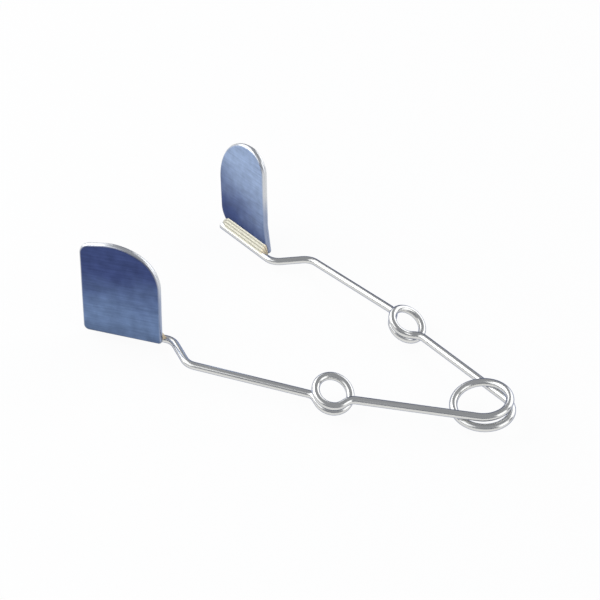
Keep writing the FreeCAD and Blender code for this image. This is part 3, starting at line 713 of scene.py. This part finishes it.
def satin_sheet_material(name, foot_reflection, crown_reflection, low_edge_reflection, edge_tone, fade):
    """Stainless sheet, satin ground along the foot with polished edges: a soft painted blue reflection and a
    bright rim.

    fade holds the slant of the painted reflection, in mm of height for each mm along the foot, and the two
    heights in mm between which it changes from the foot's colour to the crown's.
    """
    material, tree = new_material(name)
    sheet = node(tree, "ShaderNodeAttribute", attribute_name="sheet")
    rim = node(tree, "ShaderNodeAttribute", attribute_name="polished")
    split = node(tree, "ShaderNodeSeparateXYZ", {"Vector": sheet.outputs["Vector"]})
    # Clouds 6 to 8 mm across move the change of the painted reflection up or down by up to 4.5 mm
    cloud = node(tree, "ShaderNodeTexNoise", {
        "Vector": node(tree, "ShaderNodeMapping", {
            "Vector": sheet.outputs["Vector"], "Scale": (0.12, 0.16, 0.16)}).outputs[0],
        "Scale": 1.0, "Detail": 2.0})
    drift = node(tree, "ShaderNodeMath", {0: cloud.outputs["Fac"], 1: 9.0, 2: -4.5}, operation="MULTIPLY_ADD")
    raised = node(tree, "ShaderNodeMath", {0: split.outputs["Y"], 1: drift.outputs[0]}, operation="ADD")
    slant, lowest, highest = fade
    slanted = node(tree, "ShaderNodeMath", {
        0: split.outputs["X"], 1: slant, 2: raised.outputs[0]}, operation="MULTIPLY_ADD")
    share = node(tree, "ShaderNodeMapRange", {
        "Value": slanted.outputs[0], "From Min": lowest, "From Max": highest},
        interpolation_type="SMOOTHSTEP")
    # The painted reflection: the foot's colour fading into the crown's
    painted_reflection = node(tree, "ShaderNodeMix", {
        "Factor": share.outputs[0], 6: opaque(foot_reflection), 7: opaque(crown_reflection)}, data_type="RGBA")
    # Grinding lines: 0.08 mm apart for a 180 grit belt, drawn 0.4 mm apart so that they show
    lines = node(tree, "ShaderNodeTexNoise", {
        "Vector": node(tree, "ShaderNodeMapping", {
            "Vector": sheet.outputs["Vector"], "Rotation": (0, 0, math.radians(4)),
            "Scale": (0.16, 2.6, 2.6)}).outputs[0],
        "Scale": 1.0, "Detail": 4.0, "Roughness": 0.6})
    light = node(tree, "ShaderNodeMapRange", {
        "Value": lines.outputs["Fac"], "From Min": 0.3, "From Max": 0.7, "To Min": 0.88, "To Max": 1.12})
    # Finger-worn clouding of the satin, 2 mm across
    worn = node(tree, "ShaderNodeTexNoise", {"Vector": sheet.outputs["Vector"], "Scale": 0.5, "Detail": 3.0})
    dull = node(tree, "ShaderNodeMapRange", {
        "Value": worn.outputs["Fac"], "From Min": 0.3, "From Max": 0.7, "To Min": 0.86, "To Max": 1.12})
    # Painted shade: the lowest 3.5 mm grow darker towards the foot edge
    foot = node(tree, "ShaderNodeMapRange", {
        "Value": split.outputs["Y"], "From Min": 0.1, "From Max": 3.5, "To Min": 0.68, "To Max": 1.0})
    shade = node(tree, "ShaderNodeMath", {0: dull.outputs[0], 1: light.outputs[0]}, operation="MULTIPLY")
    shaded = node(tree, "ShaderNodeMath", {0: shade.outputs[0], 1: foot.outputs[0]}, operation="MULTIPLY")
    # The face: painted reflection times grinding lines, wear and the painted shade near the foot
    face_with_painted_light = node(tree, "ShaderNodeVectorMath", {
        0: painted_reflection.outputs[2], 1: shaded.outputs[0]}, operation="MULTIPLY")
    # Painted reflection and highlight: the polished edge is greyer and bluer low on the blade and lighter
    # high up
    height = node(tree, "ShaderNodeMapRange", {
        "Value": split.outputs["Y"], "From Min": 9.0, "From Max": 16.0}, interpolation_type="SMOOTHSTEP")
    edge = node(tree, "ShaderNodeMix", {
        "Factor": height.outputs[0], 6: opaque(low_edge_reflection), 7: opaque(edge_tone)}, data_type="RGBA")
    # Painted shade: under the foot the edge is darker
    foot_edge_shade = node(tree, "ShaderNodeMapRange", {
        "Value": split.outputs["Y"], "From Min": 0.25, "From Max": 1.0, "To Min": 0.25, "To Max": 1.0})
    edge_with_foot_shade = node(tree, "ShaderNodeVectorMath", {
        0: edge.outputs[2], 1: foot_edge_shade.outputs[0]}, operation="MULTIPLY")
    tone = node(tree, "ShaderNodeMix", {
        "Factor": rim.outputs["Fac"], 6: face_with_painted_light.outputs[0], 7: edge_with_foot_shade.outputs[0]}, data_type="RGBA")
    rough = node(tree, "ShaderNodeMapRange", {"Value": rim.outputs["Fac"], "To Min": 0.42, "To Max": 0.3})
    bump = node(tree, "ShaderNodeBump", {
        "Height": lines.outputs["Fac"], "Strength": 0.3, "Distance": 0.02 * MM})
    shader = node(tree, "ShaderNodeBsdfPrincipled", {
        "Base Color": tone.outputs[2], "Metallic": 1.0, "Roughness": rough.outputs[0],
        "Normal": bump.outputs[0]})
    node(tree, "ShaderNodeOutputMaterial", {"Surface": shader.outputs[0]})
    return material


def filed_braze_material(tone, groove_shade_tone, bead_tone):
    """Silver braze, filed along its length: a creamy metal half dulled by flux, with painted shade in its
    grooves.
    """
    material, tree = new_material("silver braze, filed")
    groove = node(tree, "ShaderNodeAttribute", attribute_name="groove")
    bead = node(tree, "ShaderNodeAttribute", attribute_name="bead")
    where = node(tree, "ShaderNodeTexCoord")
    # Grain of the filed metal, 0.6 mm
    grain = node(tree, "ShaderNodeTexNoise", {
        "Vector": where.outputs["Object"], "Scale": 1 / (0.6 * MM), "Detail": 3.0})
    warm = node(tree, "ShaderNodeMix", {
        "Factor": bead.outputs["Fac"], 6: opaque(tone), 7: opaque(bead_tone)}, data_type="RGBA")
    # Painted shade in the file grooves
    grooves_shaded = node(tree, "ShaderNodeMix", {
        "Factor": groove.outputs["Fac"], 6: warm.outputs[2], 7: opaque(groove_shade_tone)}, data_type="RGBA")
    light = node(tree, "ShaderNodeMapRange", {
        "Value": grain.outputs["Fac"], "From Min": 0.3, "From Max": 0.7, "To Min": 0.92, "To Max": 1.05})
    mottled = node(tree, "ShaderNodeVectorMath", {
        0: grooves_shaded.outputs[2], 1: light.outputs[0]}, operation="MULTIPLY")
    bump = node(tree, "ShaderNodeBump", {
        "Height": grain.outputs["Fac"], "Strength": 0.15, "Distance": 0.02 * MM})
    shader = node(tree, "ShaderNodeBsdfPrincipled", {
        "Base Color": mottled.outputs[0], "Metallic": 0.5, "Roughness": 0.5, "Normal": bump.outputs[0]})
    node(tree, "ShaderNodeOutputMaterial", {"Surface": shader.outputs[0]})
    return material


# The stage

FRAME_PIXELS = 600
SENSOR_WIDTH = 36
CAMERA_AIM = np.array([-45, 0, 5]) * MM
LAMP_AIM = np.array([-35, 0, 5]) * MM
TABLE_REACH = 3.0
# Share of plain white in the table's look, and the direction of the dusk, down behind the table
PLAIN_WHITE = 0.93
DUSK = (-0.45, 0.78, -0.43)
# Name, place, width and height in metres, and watts. Each stands where the wire mirrors it to the camera, and
# makes one of the wire's bright streaks
LAMPS = (
    ("left softbox", (-0.8, -0.14, 0.46), (0.9, 0.8), 4.4),
    ("far left softbox", (-0.75, 0.45, 0.36), (0.45, 0.4), 0.8),
    ("back softbox", (0.28, 0.8, 0.37), (0.95, 0.76), 3.4),
    ("right softbox", (0.78, 0.05, 0.36), (0.6, 0.74), 1.8),
    ("front panel", (-0.22, -0.21, 0.17), (0.4, 0.25), 0.35),
)


def stand(thing, right, up, back, at):
    """Turns an object so that its X, Y and Z point right, up and back, and moves it to a place."""
    rows = np.eye(4)
    rows[:3] = np.column_stack([right, up, back, at])
    thing.matrix_world = Matrix(rows)


def add_table(scene, stage):
    """A flat square table top that reaches 3 m to each side."""
    mesh = bpy.data.meshes.new("table_top")
    corners = [(-1, -1), (1, -1), (1, 1), (-1, 1)]
    mesh.from_pydata(
        [(x * TABLE_REACH, y * TABLE_REACH, stage.floor_level) for x, y in corners], [], [(0, 1, 2, 3)])
    table = bpy.data.objects.new("table_top", mesh)
    scene.collection.objects.link(table)
    material, tree = new_material("laminate table top, matt white")
    path = node(tree, "ShaderNodeLightPath")
    matt = node(tree, "ShaderNodeBsdfDiffuse", {"Color": opaque(stage.floor_tone)})
    white = node(tree, "ShaderNodeEmission", {"Color": (1, 1, 1, 1), "Strength": 1.0})
    # Camera, glossy and transmission rays meet mostly a plain white, and the lit table that is mixed in keeps
    # the dilator's shadow. Other rays meet only the lit table, so that the white gives off no light
    near = node(tree, "ShaderNodeMath", {
        0: path.outputs["Is Camera Ray"], 1: path.outputs["Is Glossy Ray"]}, operation="MAXIMUM")
    seen = node(tree, "ShaderNodeMath", {
        0: near.outputs[0], 1: path.outputs["Is Transmission Ray"]}, operation="MAXIMUM")
    plain = node(tree, "ShaderNodeMath", {0: seen.outputs[0], 1: PLAIN_WHITE}, operation="MULTIPLY")
    shader = node(tree, "ShaderNodeMixShader", {
        0: plain.outputs[0], 1: matt.outputs[0], 2: white.outputs[0]})
    node(tree, "ShaderNodeOutputMaterial", {"Surface": shader.outputs[0]})
    mesh.materials.append(material)


def add_room(scene, stage):
    """The room: an even grey overhead, dusk low down behind the table and in a band at the horizon."""
    world = bpy.data.worlds.new("studio")
    world.use_nodes = True
    tree = world.node_tree
    tree.nodes.clear()
    where = node(tree, "ShaderNodeTexCoord")
    facing = node(tree, "ShaderNodeVectorMath", {
        0: where.outputs["Generated"], 1: DUSK}, operation="DOT_PRODUCT")
    dusk = node(tree, "ShaderNodeMapRange", {
        "Value": facing.outputs["Value"], "From Min": 0.45, "From Max": 0.8},
        interpolation_type="SMOOTHSTEP")
    height = node(tree, "ShaderNodeSeparateXYZ", {"Vector": where.outputs["Generated"]})
    band = node(tree, "ShaderNodeMapRange", {
        "Value": height.outputs["Z"], "From Min": 0.05, "From Max": 0.3, "To Min": 1.0, "To Max": 0.0},
        interpolation_type="SMOOTHSTEP")
    low = node(tree, "ShaderNodeMath", {0: dusk.outputs[0], 1: band.outputs[0]}, operation="MAXIMUM")
    room = node(tree, "ShaderNodeMix", {
        "Factor": low.outputs[0], 6: opaque(stage.ceiling_tone), 7: opaque(stage.room_tone)},
        data_type="RGBA")
    light = node(tree, "ShaderNodeBackground", {"Color": room.outputs[2], "Strength": 1.0})
    node(tree, "ShaderNodeOutputWorld", {"Surface": light.outputs[0]})
    scene.world = world


def add_lamps(scene):
    """Rectangular lamps, each turned towards the dilator."""
    for name, place, size, power in LAMPS:
        lamp = bpy.data.lights.new(name, "AREA")
        lamp.shape = "RECTANGLE"
        lamp.size, lamp.size_y = size
        lamp.energy = power
        holder = bpy.data.objects.new(name, lamp)
        scene.collection.objects.link(holder)
        back = unit(np.array(place) - LAMP_AIM)
        side = unit(np.cross(UP, back))
        stand(holder, side, np.cross(back, side), back, np.array(place))


def add_camera(scene, stage):
    """The camera, turned about its aim point by azimuth, elevation and roll."""
    level = heading(stage.azimuth)
    back = np.cross(level, UP) * math.cos(stage.elevation) + UP * math.sin(stage.elevation)
    upper = np.cross(back, level)
    right = level * math.cos(stage.roll) + upper * math.sin(stage.roll)
    up = -level * math.sin(stage.roll) + upper * math.cos(stage.roll)
    camera = bpy.data.objects.new("camera", bpy.data.cameras.new("camera"))
    scene.collection.objects.link(camera)
    stand(camera, right, up, back, CAMERA_AIM + back * stage.distance)
    camera.data.sensor_width = SENSOR_WIDTH
    camera.data.lens = stage.focal_pixels / FRAME_PIXELS * SENSOR_WIDTH
    camera.data.shift_x = -stage.offset[0] / FRAME_PIXELS
    camera.data.shift_y = stage.offset[1] / FRAME_PIXELS
    camera.data.clip_start = 0.01
    scene.camera = camera


# Operators


class DILATOR_OT_wire(bpy.types.Operator):
    """Builds the spring wire: a circle carried along its middle line, with filed ends"""

    bl_idname = "dilator.wire"
    bl_label = "Spring Wire"

    def execute(self, context):
        wire, blade = context.scene.dilator_wire, context.scene.dilator_blade
        rings, places = wire_surface(wire, blade)
        mesh = closed_mesh("spring_wire_drawn", rings)
        add_values(mesh, "wire", places)
        material = drawn_wire_material(wire.tone, wire.blue_edge_reflection)
        add_piece("spring_wire_drawn", mesh, material, "spring_wire", "spring_wire")
        return {"FINISHED"}


class DILATOR_OT_blades(bpy.types.Operator):
    """Builds the two blades: a rounded outline carried from one face round the edge to the other"""

    bl_idname = "dilator.blades"
    bl_label = "Blades"

    def execute(self, context):
        wire, blade = context.scene.dilator_wire, context.scene.dilator_blade
        # Colours and fades of each blade's painted reflection
        painted_reflections = ((blade.left_foot_reflection, blade.left_crown_reflection, blade.left_reflection_fade),
                 (blade.right_foot_reflection, blade.right_crown_reflection, blade.right_reflection_fade))
        for index, side in enumerate(SIDES):
            rings, places, polish = blade_surface(wire, blade, index)
            mesh = closed_mesh(side + "_blade_satin", rings)
            add_values(mesh, "sheet", places)
            add_values(mesh, "polished", polish)
            foot_reflection, crown_reflection, fade = painted_reflections[index]
            material = satin_sheet_material(
                f"stainless sheet, satin ground, {side} blade", foot_reflection, crown_reflection, blade.low_edge_reflection,
                blade.edge_tone, fade)
            add_piece(side + "_blade_satin", mesh, material, "blade", side + "_blade")
        return {"FINISHED"}


class DILATOR_OT_brazes(bpy.types.Operator):
    """Builds the braze fillets: a grooved section carried along the foot, drawn in at both ends"""

    bl_idname = "dilator.brazes"
    bl_label = "Braze Fillets"

    def execute(self, context):
        scene = context.scene
        wire, blade, braze = scene.dilator_wire, scene.dilator_blade, scene.dilator_braze
        material = filed_braze_material(braze.tone, braze.groove_shade_tone, braze.bead_tone)
        for index, side in enumerate(SIDES):
            rings, groove, bead = braze_surface(wire, blade, braze, index)
            mesh = closed_mesh(side + "_braze_filed", rings)
            add_values(mesh, "groove", groove)
            add_values(mesh, "bead", bead)
            add_piece(side + "_braze_filed", mesh, material, "braze", side + "_braze")
        return {"FINISHED"}


class DILATOR_OT_stage(bpy.types.Operator):
    """Sets up the table, the studio light and the camera"""

    bl_idname = "dilator.stage"
    bl_label = "Stage"

    def execute(self, context):
        scene, stage = context.scene, context.scene.dilator_stage
        add_table(scene, stage)
        add_room(scene, stage)
        add_lamps(scene)
        add_camera(scene, stage)
        scene.view_settings.view_transform = "Standard"
        return {"FINISHED"}


class DILATOR_PT_panel(bpy.types.Panel):
    bl_idname = "DILATOR_PT_panel"
    bl_label = "Cheek Dilator"
    bl_space_type = "VIEW_3D"
    bl_region_type = "UI"
    bl_category = "Cheek Dilator"

    def draw(self, context):
        for operator, group in GROUPS:
            box = self.layout.box()
            box.operator(operator.bl_idname)
            settings = getattr(context.scene, group)
            for name in settings.__annotations__:
                box.prop(settings, name)


GROUPS = (
    (DILATOR_OT_wire, "dilator_wire"),
    (DILATOR_OT_blades, "dilator_blade"),
    (DILATOR_OT_brazes, "dilator_braze"),
    (DILATOR_OT_stage, "dilator_stage"),
)
SETTINGS = (WireSettings, BladeSettings, BrazeSettings, StageSettings)


def register():
    for (operator, group), settings in zip(GROUPS, SETTINGS):
        bpy.utils.register_class(settings)
        bpy.utils.register_class(operator)
        setattr(bpy.types.Scene, group, PointerProperty(type=settings))
    bpy.utils.register_class(DILATOR_PT_panel)


def unregister():
    bpy.utils.unregister_class(DILATOR_PT_panel)
    for (operator, group), settings in zip(GROUPS, SETTINGS):
        delattr(bpy.types.Scene, group)
        bpy.utils.unregister_class(operator)
        bpy.utils.unregister_class(settings)


def main():
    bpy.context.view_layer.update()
    register()
    bpy.ops.dilator.wire()
    bpy.ops.dilator.blades()
    bpy.ops.dilator.brazes()
    bpy.ops.dilator.stage()


if __name__ == "__main__":
    main()
